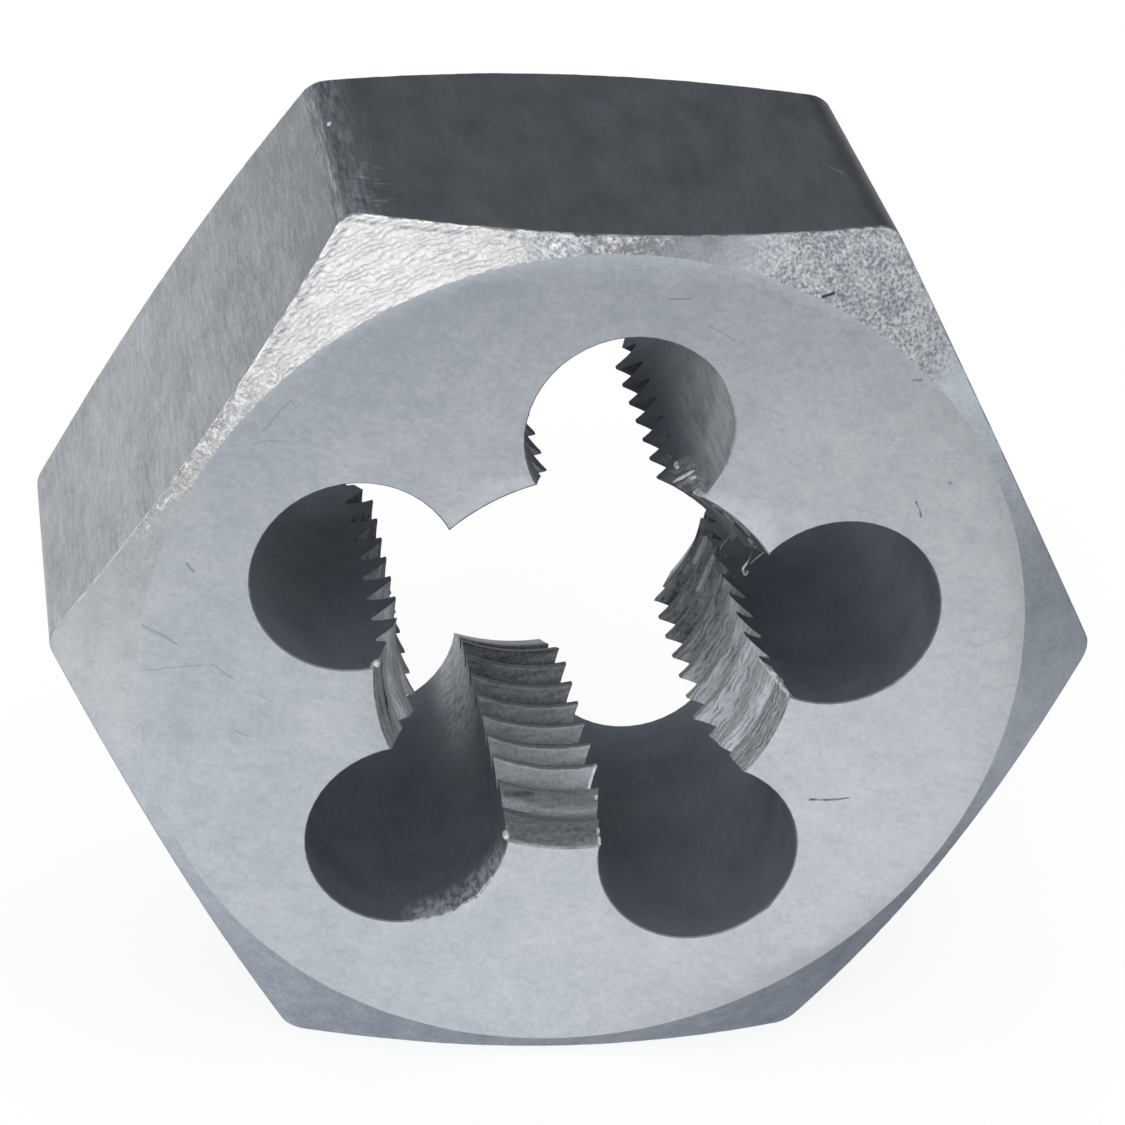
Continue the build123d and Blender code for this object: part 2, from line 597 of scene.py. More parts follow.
# Darker and greyer at the top
darker_top = sector(x, z, *DARKER_TOP) * (1 - torn)
lit_left = sector(x, z, *LIT_LEFT) * (1 - torn)
mottle = cloudiness(place, 1.3, 4.0, 0.6)
grain = cloudiness(place, 9.0, 1.5, 0.6)
ridges = wavy_lines(place, from_axis(x, z), 7.6, 3.8)
breaks = cloudiness(around_axis(x, y, z, 4.0, 28.0), 1.0, 2.0).ramp(0.4, 0.6)
cracks = ridges.ramp(0.66, 1.0) * (0.08 + breaks * 0.92)
top_gap = z - apothem
left_gap = out_to(x, z, 150) - apothem
flecks = sector(x, z, *FLECKED_TOP) * top_gap.ramp(-0.3, -0.15)
flecks = flecks + sector(x, z, *FLECKED_LEFT) * left_gap.ramp(-0.3, -0.15)
flecks = flecks * front * cloudiness(place, 4.6, 2.0).ramp(0.53, 0.58)
border = place.math("MAXIMUM", top_gap, left_gap).near(-0.2, 0.02, 0.08) * breaks
# Painted light on the left and right sides, and painted shade underneath
plain = 0.385 + (mottle - 0.5) * 0.4 + (grain - 0.5) * 0.35 + lit_left * 0.22
plain = plain + sector(x, z, *LIT_RIGHT) * 0.2 - sector(x, z, *SHADED_UNDERSIDE) * 0.24
# The torn part is paler, partly by a painted highlight and partly by the torn steel's own tone
torn_and_highlight_tone = 0.6 + (mottle - 0.5) * 0.16 + (grain - 0.5) * 0.6 - cracks * 0.32 - border * 0.25
stippled_tone = 0.345 + lit_left * 0.2 + (mottle - 0.5) * 0.7 + (grain - 0.5) * 1.9
bright = plain.blend(torn_and_highlight_tone, torn).blend(stippled_tone, stippled)
bright = bright - darker_top * 0.25 + flecks * 0.45
neutral = torn + stippled * 0.6 + darker_top * 0.6 + sector(x, z, *GREY_LEFT) * 0.55
cool = shade(bright, *TURNED_COLOURS)
colour = shade(neutral.at_most(1), cool, shade(bright, *TORN_COLOURS))
colour = shade(near_line(place, *NICK), colour, NICK_COLOUR)
height = (ridges * 0.18 + grain * 0.16) * torn + grain * (stippled * 0.3 + 0.05) + flecks * 0.25
rough = 0.34 + torn * 0.1 + stippled * 0.06 + flecks * 0.2 + grain * 0.1
finish_steel(colour, rough, height, depth=0.05)

# Drawn flats: streaked along the bar, smoother on top, and rubbed along the upper left corner,
# with a painted sheen across that corner's rounding; painted shade darkens them upwards, by the
# upper left corner and on the upper right corner
FLAT, place, x, y, z = new_finish("drawn_steel")
streaks = cloudiness(place, (8.0, 0.8, 8.0), 4.0, 0.6)
scuffs = cloudiness(place, (8.0, 0.8, 8.0), 4.0, 0.7)
patches = cloudiness(place, (0.9, 0.35, 0.9), 4.0, 0.6)
grain = cloudiness(place, (11.0, 3.4, 11.0), 3.0, 0.7)
upper = z.ramp(11, 12.5)
top = z.ramp(13.3, 13.45)
from_left_corner = out_to(x, z, 30)
# Rubbed streaks along the upper left corner, lighter across its rounding as a painted sheen, with
# painted shade beside them
rub_and_sheen = from_left_corner.between((-0.6, -0.2), (0.3, 1.2)) * upper
shaded_left_corner = from_left_corner.near(-0.6, 0.2, 2.4) * upper * (1 - rub_and_sheen)
rub_and_sheen = rub_and_sheen * (0.5 + (scuffs - 0.5) * 3)
bare = from_left_corner.near(-0.12, 0.02, 0.2) * upper * (0.4 + scuffs)
nicks = from_left_corner.between((0.2, 0.5), (0.9, 1.5)) * (1 - y.ramp(-2.5, 0.5)) * top
nicks = nicks * cloudiness(place, (2.2, 7.0, 2.2), 2.0, 0.5).ramp(0.58, 0.66)
speck = near_line(place, *SPECK)
bright = 0.32 + (streaks + grain - 1) * 0.7 * (1 - top * 0.75) + (patches - 0.5) * 0.6
# Painted shade: darker upwards and next to the upper left corner
bright = bright - z.ramp(4, 12) * (1 - top) * 0.18 - shaded_left_corner * 0.12 - top * 0.06
bright = bright + rub_and_sheen * 0.35 + bare * 0.55 + nicks * 0.5
bright = bright + speck + near_line(place, *FLAT_SCRATCH) * 0.35
colour = shade(bright, *DRAWN_COLOURS)
# Painted shade on the upper right corner
colour = shade(sector(x, z, *SHADED_RIGHT_CORNER) * 0.5, colour, CORNER_SHADE_COLOUR)
height = streaks * 0.7 + grain * 0.6 + scuffs * rub_and_sheen
finish_steel(colour, 0.27 + grain * 0.12 + rub_and_sheen * 0.15 + speck * 0.4, height, depth=0.012)

# Broken edges between chamfers and flats: rubbed, and brightest where burred
RIM, place, x, _, z = new_finish("rubbed_edge")
bits = cloudiness(place, 2.2, 4.0, 0.7)
burred = sector(x, z, *BURRED_EDGE) * (x * x + z * z).ramp(150, 165)
colour = shade((bits - 0.35) * 1.4 + burred * 0.7, *RUBBED_COLOURS)
finish_steel(colour, 0.32 + bits * 0.14, bits, depth=0.02)

skin = Skin()
columns = []
for a in outer_angles():
    columns.append([polar(r, a, y - depth_half) for r, y in outer_profile(a)])
columns.append(columns[0])
front_zones, back_zones = ([CHAMFER] * (steps + 1) + [RIM] * 2 for steps in CHAMFER_STEPS)
outer_zones = front_zones + [FLAT] * (2 * len(FLAT_SUPPORTS) + 1) + back_zones[::-1]
outer_rows = [[c[row] for c in columns] for row in range(len(columns[0]))]
skin.grid(outer_rows, lambda row, column: outer_zones[row])

# Thread
# Right-hand M12 x 1.25 thread, cut through the bore by a tap and left as five lands between
# the chip holes. A tapered lead at each end opens it, so its first teeth are cut short. The
# tap tore the steel on the right and left lands and raised burrs on some cutting edges.
THREAD_PITCH = 1.25
ROOT_RADIUS = 6.0
CREST_RADIUS = 5.2595
ROOT_FLAT = 0.16
THREAD_START = math.radians(230)
FLANK_SLOPE = math.tan(math.radians(30))
LEAD_RADIUS = 6.21
LEAD_DEPTH = 2.5
LEAD_FINISH_DEPTH = 0.9
RIM_BREAK = 0.04
LAND_STEPS = 32
FLANK_STEPS = (0, 0.25, 0.5, 0.75, 0.96)
SHALLOW_LINES = (RIM_BREAK, 0.12, 0.23, 0.34)
LINES_CLEAR_OF_FACE = 0.45
CLOSING_ROUNDS = 12

CHIP_HOLES = 5
CHIP_RADIUS = 3.01
CHIP_CIRCLE = 7.52
CHIP_START = math.radians(85.8)

# How deep each land is torn, with the lands counted round from the top hole, between which
# depths the tearing dies down, what is left of it behind, and how deep the rim is free of it
TORN_LANDS = (0.01, 0.035, 0.014, 0.075, 0.02)
TEARING_ENDS = (-3.5, 1.5)
TEARING_BEHIND = 0.15
SOUND_RIM = 0.3

# The bottom land's first tooth is worn and smeared towards a line just outside the lead:
# between which angles, how much of the way, over which depths the wear ends, how far out
# that line comes to lie and over which depths, and the most that is worn off or smeared on
WORN_ANGLES = (math.radians(230), math.radians(302))
WORN_SHARE = 0.7
WEAR_ENDS = (1.5, 2.1)
WORN_LINE_OUT = 0.1
WORN_LINE_DEPTHS = (0.3, 1.0)
MOST_WEAR = 0.12

# The bottom land's crests get a painted highlight out to these radii, and painted shade along
# their back edges, which lie at this share of the pitch
SHINY_CRESTS = (5.28, 5.36)
CREST_BACK_EDGE = 0.585

# Burrs on cutting edges: chip hole and side, how far they stand out, and how deep they reach
BURRS = {
    (1, 1): (0.08, 0.4),
    (2, 1): (0.08, 0.5),
    (3, -1): (0.045, 3.2),
    (4, -1): (0.06, 1.9),
    (4, 1): (0.06, 0.6),
    (0, -1): (0.05, 0.8),
}

# Single marks on the lands, among them two painted highlights along ridges of the right land:
# both ends and the width
DARK_DASH = ((-1.7, -4.65, -5.31), (-0.9, -4.5, -5.42), 0.16)
LIT_LINES = (
    ((5.43, 3.69, -1.0), (5.18, 3.72, -1.9), 0.09),
    ((5.42, 2.42, -1.0), (5.12, 2.47, -2.2), 0.09),
)
GROOVES = (
    ((-5.95, -5.62, -0.35), (-5.69, -5.55, -1.61), 0.1),
    ((-5.69, -5.55, -1.61), (-5.43, -5.78, -2.5), 0.1),
    ((-6.02, -6.0, -0.4), (-5.84, -6.02, -1.85), 0.08),
)

BURR_COLOURS = ((0.55, 0.56, 0.57), (0.88, 0.88, 0.88))
THREAD_COLOURS = ((0.05, 0.057, 0.069), (0.7, 0.74, 0.79))
LEAD_COLOURS = ((0.05, 0.057, 0.069), (0.58, 0.605, 0.64))

lead_taper = (LEAD_RADIUS - CREST_RADIUS) / LEAD_DEPTH


def bore_radius(angle, y):
    """Distance from the axis to the bore's wall: the thread, or a lead where it is wider."""
    phase = y / THREAD_PITCH + (angle - THREAD_START) / (2 * math.pi)
    offset = abs(phase - round(phase)) * THREAD_PITCH
    flank = ROOT_RADIUS - (offset - ROOT_FLAT / 2) / FLANK_SLOPE
    thread = min(ROOT_RADIUS, max(CREST_RADIUS, flank))
    lead = LEAD_RADIUS - lead_taper * (depth_half - abs(y))
    radius = max(thread, lead)
    if WORN_ANGLES[0] < angle % (2 * math.pi) < WORN_ANGLES[1]:
        depth = y + depth_half
        worn_radius = lead + WORN_LINE_OUT * progress(depth, *WORN_LINE_DEPTHS)
        wear = (worn_radius - radius) * WORN_SHARE * (1 - progress(depth, *WEAR_ENDS))
        radius += max(-MOST_WEAR, min(MOST_WEAR, wear))
    return radius


def hole_angle(hole):
    return CHIP_START + hole * 2 * math.pi / CHIP_HOLES


def hole_half_angle(radius, hole_radius=CHIP_RADIUS):
    """Angle at the die's axis between a chip hole's centre and its wall at that radius."""
    top = CHIP_CIRCLE**2 + radius**2 - hole_radius**2
    return math.acos(top / (2 * CHIP_CIRCLE * radius))


def burr_size(hole, side, y):
    """How far a land's cutting edge stands out into the chip hole beside it."""
    hole %= CHIP_HOLES
    size, length = BURRS.get((hole, side), (0, 1))
    fading = 1 - progress(y + depth_half, 0, length)
    ragged = 0.01 * uneven((hole, side, y), 3.0)
    return ragged + size * fading * (0.6 + 1.2 * uneven((3 * hole, side, y), 4.0))


def land_lines(land):
    """Lines along one land from front to back, each as its y at the thread's start and lead."""
    middle = hole_angle(land) + math.pi / CHIP_HOLES
    shift = (middle - THREAD_START) / (2 * math.pi)
    flank_start = ROOT_FLAT / 2
    flank_end = flank_start + (ROOT_RADIUS - CREST_RADIUS) * FLANK_SLOPE
    flank = [flank_start + (flank_end - flank_start) * t for t in FLANK_STEPS]
    half_cycle = [0.0] + flank + [flank_end + 0.02, THREAD_PITCH / 2]
    cycle = sorted(set(round(o, 6) for o in half_cycle + [THREAD_PITCH - o for o in half_cycle]))
    first_turn = math.floor(-depth_half / THREAD_PITCH + shift) - 1
    lines = [(depth - depth_half, 0) for depth in SHALLOW_LINES]
    for turn_number in range(first_turn, first_turn + int(THICKNESS / THREAD_PITCH) + 4):
        for offset in cycle[:-1]:
            phase = turn_number + offset / THREAD_PITCH
            if abs(THREAD_PITCH * (phase - shift)) < depth_half - LINES_CLEAR_OF_FACE:
                lines.append((THREAD_PITCH * phase, THREAD_PITCH))
    return lines + [(depth_half - depth, 0) for depth in reversed(SHALLOW_LINES)]


def line_y(line, angle):
    """Place along the axis of one of a land's lines, at an angle round the axis."""
    start, lead = line
    return start - lead * (angle - THREAD_START) / (2 * math.pi)


def land_end(hole, side, line):
    """Angle where a line of the thread runs into the wall of a chip hole on that side."""
    radius = ROOT_RADIUS
    for _ in range(CLOSING_ROUNDS):
        angle = hole_angle(hole) + side * hole_half_angle(radius)
        radius = bore_radius(angle, line_y(line, angle))
    return angle - side * burr_size(hole, side, line_y(line, angle)) / radius


def tear(land, angle, y):
    """How far the torn steel stands in or out of the clean thread, in waves along it."""
    share = max(TEARING_BEHIND, 1 - progress(y, *TEARING_ENDS))
    wave = noise.fractal(Vector((angle * 6.5, y * 2.6, 5 * land)), 0.65, 2.0, 3)
    return 0.008 * uneven(polar(6, angle, y), 1.6) + TORN_LANDS[land] * share * wave


def torn_sides(x, z, left_share):
    """Where the tap tore the steel: on the right land, and less on the left one."""
    right = x.ramp(3, 4.5) * (1 - z.ramp(0.5, 1.5))
    return right + (1 - x.ramp(-5, -4.2)) * left_share


def tap_folds(place, x, y, z):
    """Broken wrinkles that a tap folds into torn steel, on a slant to the thread."""
    breaks = cloudiness(around_axis(x, y, z, 3.0, 9.0), 1.0, 2.0).ramp(0.38, 0.6)
    return wavy_lines(place, y - from_axis(x, z), 4.6, 2.8).ramp(0.6, 1.0) * breaks


# Burrs on the cutting edges: pale and crumbly
BURR, place, *_ = new_finish("raised_burr")
grain = cloudiness(place, 7.0, 3.0, 0.7)
colour = shade(grain.ramp(0.35, 0.6), *BURR_COLOURS)
finish_steel(colour, 0.5 + grain * 0.15, grain, depth=0.03, metallic=0.35)

# Thread: dark, bright and wrinkled where torn, and lighter again on its last turn; painted shade
# darkens it deeper into the bore, and painted highlights lie on crests and ridges
THREAD, place, x, y, z = new_finish("cut_thread")
front = 1 - y.ramp(-6, 3)
last = y.ramp(5.3, 6.1)
torn = torn_sides(x, z, 0.6)
upper_land = x.ramp(0.5, 1.2) * z.ramp(2.0, 2.5)
lower_crest = (1 - from_axis(x, z).ramp(*SHINY_CRESTS)) * (1 - z.ramp(-4.5, -3.5))
phase = y / THREAD_PITCH + (z.math("ARCTAN2", z, x) - THREAD_START) / (2 * math.pi)
crest_end = phase.math("FRACT", phase).near(CREST_BACK_EDGE, 0.014, 0.04)
marks = cloudiness(around_axis(x, y, z, 3.4, 5.5), 1.0, 4.0, 0.65)
folds = tap_folds(place, x, y, z) * torn * (0.4 + front * 0.6)
grain = cloudiness(place, 8.0, 3.0, 0.7)
lit_lines = sum(near_line(place, *line) for line in LIT_LINES)
# Painted shade: lighter towards the front, darker deeper into the bore
bright = 0.1 + front * 0.27 + torn * (0.07 + front * 0.36) + last * 0.33
bright = bright + (marks - 0.5) * (0.4 + torn * 0.5) + (grain - 0.5) * 0.45 - folds * 0.2
# Painted highlights on the bottom land's crests and on two ridges, with painted shade along the
# crests' back edges
bright = bright + lower_crest * (0.15 - crest_end * 0.7) + lit_lines * 0.38
bright = (bright - near_line(place, *DARK_DASH) * 0.18) * (1 - upper_land * 0.7)
height = marks * (0.4 + torn * 0.4) + grain * 0.2 - folds * 0.4
rough = 0.42 + torn * 0.08 + grain * 0.14
finish_steel(shade(bright, *THREAD_COLOURS), rough, height, depth=0.05, metallic=0.6)

# Leads: lighter than the thread, but dark with light flakes on the upper land
LEAD, place, x, y, z = new_finish("cut_lead")
front = 1 - y.ramp(-1, 1)
torn = torn_sides(x, z, 0.5) * front
upper_land = x.ramp(0.5, 1.2) * z.ramp(2.0, 2.5) * front
marks = cloudiness(around_axis(x, y, z, 4.0, 5.0), 1.0, 4.0, 0.65)
folds = tap_folds(place, x, y, z) * torn
grain = cloudiness(place, 7.0, 3.0, 0.65)
flakes = cloudiness(place, 1.9, 3.0, 0.5).ramp(0.5, 0.54)
grooves = sum(near_line(place, *groove) for groove in GROOVES)
bright = 0.44 + torn * 0.32 + (1 - front) * 0.3 - folds * 0.25 - grooves * 0.4
bright = bright + (marks - 0.5) * (0.6 + torn * 0.3) + (grain - 0.5) * 0.8
bright = bright * (1 - upper_land * (0.85 - flakes * 1.2))
height = marks * (0.4 + torn * 0.4) + grain * 0.3 - folds * 0.4
rough = 0.46 + grain * 0.14
finish_steel(shade(bright, *LEAD_COLOURS), rough, height, depth=0.05, metallic=0.6)


def land_zone(land, y, column):
    """Finish of one quad of a land: burr at some cutting edges, lead near the faces, thread."""
    edges = {0: (land, 1), LAND_STEPS - 1: ((land + 1) % CHIP_HOLES, -1)}
    hole, side = edges.get(column, (None, None))
    if (hole, side) in BURRS and y + depth_half < BURRS[hole, side][1]:
        if uneven((3 * hole, side, y), 1.6) > 0:
            return BURR
    return LEAD if depth_half - abs(y) < LEAD_FINISH_DEPTH else THREAD


land_edges = {}
land_rims = {}
for land in range(CHIP_HOLES):
    rows = []
    for line in land_lines(land):
        start = land_end(land, 1, line)
        finish = land_end(land + 1, -1, line)
        row = []
        for t in np.linspace(0, 1, LAND_STEPS + 1):
            a = start + (finish - start) * t
            y = line_y(line, a)
            clear = progress(depth_half - abs(y), RIM_BREAK, RIM_BREAK + SOUND_RIM)
            torn = tear(land, a, y) * math.sin(math.pi * t) * clear
            row.append(polar(bore_radius(a, y) + torn, a, y))
        rows.append(row)
    middles = [row[LAND_STEPS // 2][1] for row in rows]
    skin.grid(rows, lambda row, column: land_zone(land, middles[row], column))
    land_rims[land] = rows[0], rows[-1]
    land_edges[land, 1] = [row[0] for row in rows]
    land_edges[(land + 1) % CHIP_HOLES, -1] = [row[-1] for row in rows]

# Chip holes
# Five round holes drilled through beside the thread, each open to the bore. They let chips
# out, and their walls give the thread its cutting edges. Hardening has left them dark, with
# a chipped rim on the lower left one, a nick on the lower right one and scuffs at the top.
WALL_SIDE = math.radians(118)
WALL_BACK = math.radians(4)
WALL_STEPS = 16
WALL_SIDE_STEPS = 3
WALL_BURR_SHARE = 0.8
HARDENED_COLOURS = ((0.062, 0.079, 0.113), (0.58, 0.612, 0.655))

# Chips out of front rims: hole, angles round its wall, depth along and into the wall
CHIPS = ((2, 52, 113, 0.9, 0.08), (3, 13, 21, 0.3, 0.1), (4, -70, -62, 0.2, 0.04))

# Patches of the walls, a painted highlight on the lower left one and two worn ones: both ends of
# their middle line, and the width
HIGHLIGHT_PATCH = ((-2.0, 0.5, -6.5), (-1.95, 6.4, -6.5), 1.6)
CHIPPED_PATCH = ((-3.7, -6.3, -8.6), (-2.2, -6.2, -7.2), 1.3)
BURRED_PATCH = ((2.5, -6.3, 5.5), (2.6, -4.2, 5.3), 0.8)

# Where the walls are lighter, with the middle and the two half angles in degrees again
LIGHT_LOWER_RIGHT = (302, 25.8, 53.1)
LIGHT_LEFT = (158, 25.8, 53.1)

# Slivers that the tap curled off the cutting edges of the top and right holes: the points
# that they follow, their thickness and their finish
CURL_STEPS = 4
CURL_SIDES = 6
SLIVERS = (
    ([(4.88, -6.22, 3.76), (4.7, -6.1, 3.51), (4.54, -6.0, 3.23)], 0.08, RIM),
    ([(4.68, -5.6, 3.5), (4.52, -5.8, 3.25), (4.38, -5.9, 3.04), (4.42, -5.95, 2.9)], 0.12, RIM),
    ([(4.38, -5.93, 2.92), (4.46, -5.95, 2.87), (4.53, -5.95, 2.99)], 0.11, RIM),
    ([(4.1, -5.2, 3.82), (3.92, -5.2, 3.55), (3.84, -5.0, 3.15)], 0.06, RIM),
    ([(2.3, -4.6, 5.13), (2.58, -4.8, 5.44), (2.86, -4.95, 5.72)], 0.12, BURR),
    ([(2.56, -3.75, 5.42), (2.52, -3.9, 5.32), (2.58, -4.05, 5.34)], 0.16, BURR),
    ([(2.66, -5.0, 5.5), (2.76, -5.2, 5.6), (2.84, -5.3, 5.68)], 0.13, BURR),
    ([(2.4, -2.8, 5.1), (2.52, -3.1, 5.22), (2.5, -3.4, 5.3)], 0.08, RIM),
)

# Burrs that roll along a cutting edge: chip hole and side, down to which depth, thickness
ROLLED_BURRS = ((4, -1, 1.6, 0.09), (1, 1, 0.35, 0.24), (2, 1, 0.4, 0.22))


def wall_angle(hole, point):
    """Angle of a point on a chip hole's wall, measured at the hole from the outward side."""
    a = hole_angle(hole)
    x = point[0] * math.cos(a) + point[2] * math.sin(a) - CHIP_CIRCLE
    z = -point[0] * math.sin(a) + point[2] * math.cos(a)
    return math.atan2(z, x)


def chipped(hole, angle, y):
    """How much steel is chipped out of a hole's wall near its front rim."""
    deepest = 0.0
    for chip_hole, start, end, length, size in CHIPS:
        share = (math.degrees(angle) - start) / (end - start)
        depth_share = 1 - (y + depth_half) / length
        if chip_hole == hole and 0 < share < 1 and depth_share > 0:
            uneven_share = 0.55 + 1.3 * uneven((angle * 3, y, hole), 2.8)
            form = math.sin(math.pi * share) ** 0.6 * depth_share**1.5
            deepest = max(deepest, size * form * uneven_share)
    return deepest


def wall_point(hole, angle, y, widened=0.0):
    """Point of a chip hole's wall at an angle measured at the hole, and a place y along it."""
    a = hole_angle(hole)
    radius = CHIP_RADIUS + widened + chipped(hole, angle, y)
    x = CHIP_CIRCLE + radius * math.cos(angle)
    z = radius * math.sin(angle)
    return (x * math.cos(a) - z * math.sin(a), y, x * math.sin(a) + z * math.cos(a))


def wall_angles(edge, side):
    """Angles round half a hole's wall, from a land's edge to the middle of its outward side."""
    turned = side * WALL_SIDE
    angles = [edge + (turned - edge) * i / WALL_SIDE_STEPS for i in range(WALL_SIDE_STEPS)]
    return angles + list(np.linspace(turned, side * WALL_BACK, WALL_STEPS))


def half_wall(hole, side):
    """Half a chip hole's wall as rows of points from front to back, added to the skin."""
    rows = []
    for point in land_edges[hole, side]:
        angles = wall_angles(wall_angle(hole, point), side)
        rows.append([point] + [wall_point(hole, a, point[1]) for a in angles[1:]])
    burred_depth = BURRS.get((hole, side), (0, 0))[1] * WALL_BURR_SHARE

    def wall_zone(row, column):
        burred = column == 0 and rows[row][0][1] + depth_half < burred_depth
        return BURR if burred else HOLE

    return rows, skin.grid(rows, wall_zone)


def curl(path, thickness, zone):
    """Thin curled burr: a tube with pointed ends that follows the points of its path."""
    knots = [Vector(p) for p in path]
    count = CURL_STEPS * (len(knots) - 1)
    line = []
    for i in range(count + 1):
        n = min(i // CURL_STEPS, len(knots) - 2)
        t = i / CURL_STEPS - n
        before, after = knots[max(n - 1, 0)], knots[min(n + 2, len(knots) - 1)]
        leave, arrive = (knots[n + 1] - before) / 2, (after - knots[n]) / 2
        near_part = knots[n] * (2 * t**3 - 3 * t**2 + 1) + leave * (t**3 - 2 * t**2 + t)
        far_part = knots[n + 1] * (3 * t**2 - 2 * t**3) + arrive * (t**3 - t**2)
        line.append(near_part + far_part)
    turns = [2 * math.pi * k / CURL_SIDES for k in range(CURL_SIDES + 1)]
    rings = [[line[0]] * len(turns)]
    for i in range(1, count):
        ahead = (line[i + 1] - line[i - 1]).normalized()
        side = ahead.cross(Vector((0.3, 1, 0.2))).normalized()
        over = ahead.cross(side)
        girth = thickness / 2 * math.sin(math.pi * i / count) ** 0.5
        rings.append([line[i] + (side * math.cos(u) + over * math.sin(u)) * girth for u in turns])
    skin.grid(rings + [[line[-1]] * len(turns)], zone)


# Walls: near black and brushed, with chipped, burred and scuffed places, and a painted highlight
# streak on the lower left one
HOLE, place, x, y, z = new_finish("hardened_wall")
front = 1 - y.ramp(-5.6, 3)
clouds = cloudiness(place, 0.6, 4.0)
grain = cloudiness(place, (6.0, 2.1, 6.0), 3.0, 0.6)
flecks = cloudiness(place, 3.2, 4.0, 0.75)
brushed = cloudiness(place, (5.0, 0.8, 5.0), 3.0, 0.6)
smears = cloudiness(place, (5.0, 2.2, 5.0), 4.0, 0.65).ramp(0.36, 0.74)
scuffed = x.between((2.5, 3.4), (5, 7)) * z.ramp(4.5, 6) * front
scuffed = scuffed * (0.8 + (clouds - 0.5) * 1.4 + (brushed - 0.5) * 1.6)
painted_highlight = near_line(place, *HIGHLIGHT_PATCH) * y.ramp(-0.5, 3)
chip = near_line(place, *CHIPPED_PATCH)
corner = near_line(place, *BURRED_PATCH)
lower_right = sector(x, z, *LIGHT_LOWER_RIGHT) * (1 - y.ramp(0, 3))
bright = 0.22 + (clouds - 0.5) * 0.26 + (grain - 0.5) * 0.14
bright = bright + lower_right * 0.09 + sector(x, z, *LIGHT_LEFT) * 0.07 + scuffed * 0.82
# Painted highlight along the lower left hole's wall, brighter towards the back
bright = bright + painted_highlight * (0.27 + y.ramp(3, 6) * 0.3 + (flecks - 0.5) * 1.8)
bright = bright + chip * (0.1 + smears * 1.15 + (flecks - 0.5) * 0.9)
bright = bright + corner * (0.12 + flecks.ramp(0.46, 0.62) * 0.6)
height = grain * 0.25 + flecks * (chip * 0.5 + corner).at_most(1)
rough = 0.55 + grain * 0.1
finish_steel(shade(bright, *HARDENED_COLOURS), rough, height, depth=0.05, metallic=0.6)

hole_rims = {}
for hole in range(CHIP_HOLES):
    (left, left_numbers), (right, right_numbers) = (half_wall(hole, side) for side in (1, -1))
    skin.strip([row[-1] for row in left_numbers], [row[-1] for row in right_numbers], HOLE)
    hole_rims[hole] = [left[end] + right[end][::-1] for end in (0, -1)]

for path, thickness, zone in SLIVERS:
    curl(path, thickness, zone)
for hole, side, depth, thickness in ROLLED_BURRS:
    path = [p for p in land_edges[hole, side] if RIM_BREAK < p[1] + depth_half < depth]
    curl(path, thickness, BURR)

# Ground faces
# Both end faces are ground flat after hardening, up to the broken rims of holes and bore.
# The front one has a few scratches, a faint mottle and the slanting lines of the grinding.
FACE_GRID = 0.8
CLEAR_OF_EDGES = 0.35
SAME_PLACE = 1e-7
GRINDING_SLANT = math.radians(-18)
SCRATCH_CELLS = 1.6
SCRATCH_WANDER = 0.16
GROUND_COLOURS = ((0.45, 0.49, 0.54), (0.66, 0.695, 0.735))
SCRATCH_COLOUR = (0.06, 0.06, 0.065)

# Scratches on the front face: both ends as distance right and up, width, and how dark
SCRATCHES = (
    ((7.18, -4.53), (7.7, -4.55), 0.055, 0.9),
    ((7.7, -4.55), (8.34, -4.48), 0.05, 0.7),
    ((9.11, 5.48), (9.33, 5.0), 0.045, 0.75),
    ((-9.87, 7.45), (-9.14, 8.39), 0.045, 0.25),
    ((-9.14, 8.39), (-8.96, 8.18), 0.045, 0.2),
    ((1.22, 11.71), (1.81, 11.73), 0.05, 0.4),
    ((2.46, 10.95), (3.47, 10.35), 0.045, 0.2),
    ((8.54, 9.33), (8.75, 9.33), 0.07, 0.5),
    ((10.03, 6.11), (10.09, 6.09), 0.07, 0.4),
    ((11.42, 0.68), (12.69, 1.19), 0.05, 0.12),
    ((11.8, -0.6), (12.97, -0.59), 0.05, 0.1),
    ((-12.91, 1.28), (-11.95, 0.7), 0.055, 0.25),
    ((-12.79, -0.18), (-10.89, 0.02), 0.04, 0.18),
    ((-10.89, 0.02), (-10.03, -0.63), 0.045, 0.22),
    ((-9.41, -1.03), (-9.02, -1.26), 0.045, 0.15),
    ((-10.09, -2.19), (-9.74, -2.36), 0.05, 0.22),
    ((-11.76, 3.28), (-11.58, 3.03), 0.07, 0.35),
    ((-10.82, 6.94), (-9.63, 7.15), 0.045, 0.12),
    ((-9.63, 7.15), (-8.62, 7.13), 0.045, 0.1),
)

# Faces: pale grey, with slanting grinding lines, worn patches and the scratches, painted shade
# towards the top and painted light towards the right
FACE, place, x, _, z = new_finish("ground_steel")
slant = {"Vector": place, "Angle": GRINDING_SLANT}
slanting = place.node("ShaderNodeVectorRotate", {"rotation_type": "Y_AXIS"}, slant)
clouds = cloudiness(place, 0.55, 5.0, 0.6)
mottle = cloudiness(slanting, (1.5, 1.0, 2.4), 4.0, 0.6)
hatch = cloudiness(slanting, (1.1, 1.0, 9.0), 3.0, 0.6)
grain = cloudiness(place, 7.0, 3.0, 0.7)
wander = {"Vector": place, "Scale": SCRATCH_CELLS, "Detail": 2.0}
wander = place.node("ShaderNodeTexNoise", None, wander, "Color")
wander = place.vector("SCALE", place.vector("SUBTRACT", wander, (0.5, 0.5, 0.5)), SCRATCH_WANDER)
wavy = place.vector("ADD", place, wander)
scratched = 0
for start, finish, width, dark in SCRATCHES:
    ends = [(across, -depth_half, up) for across, up in (start, finish)]
    scratched = near_line(wavy, *ends, width) * dark + scratched
scratched = scratched.at_most(1)
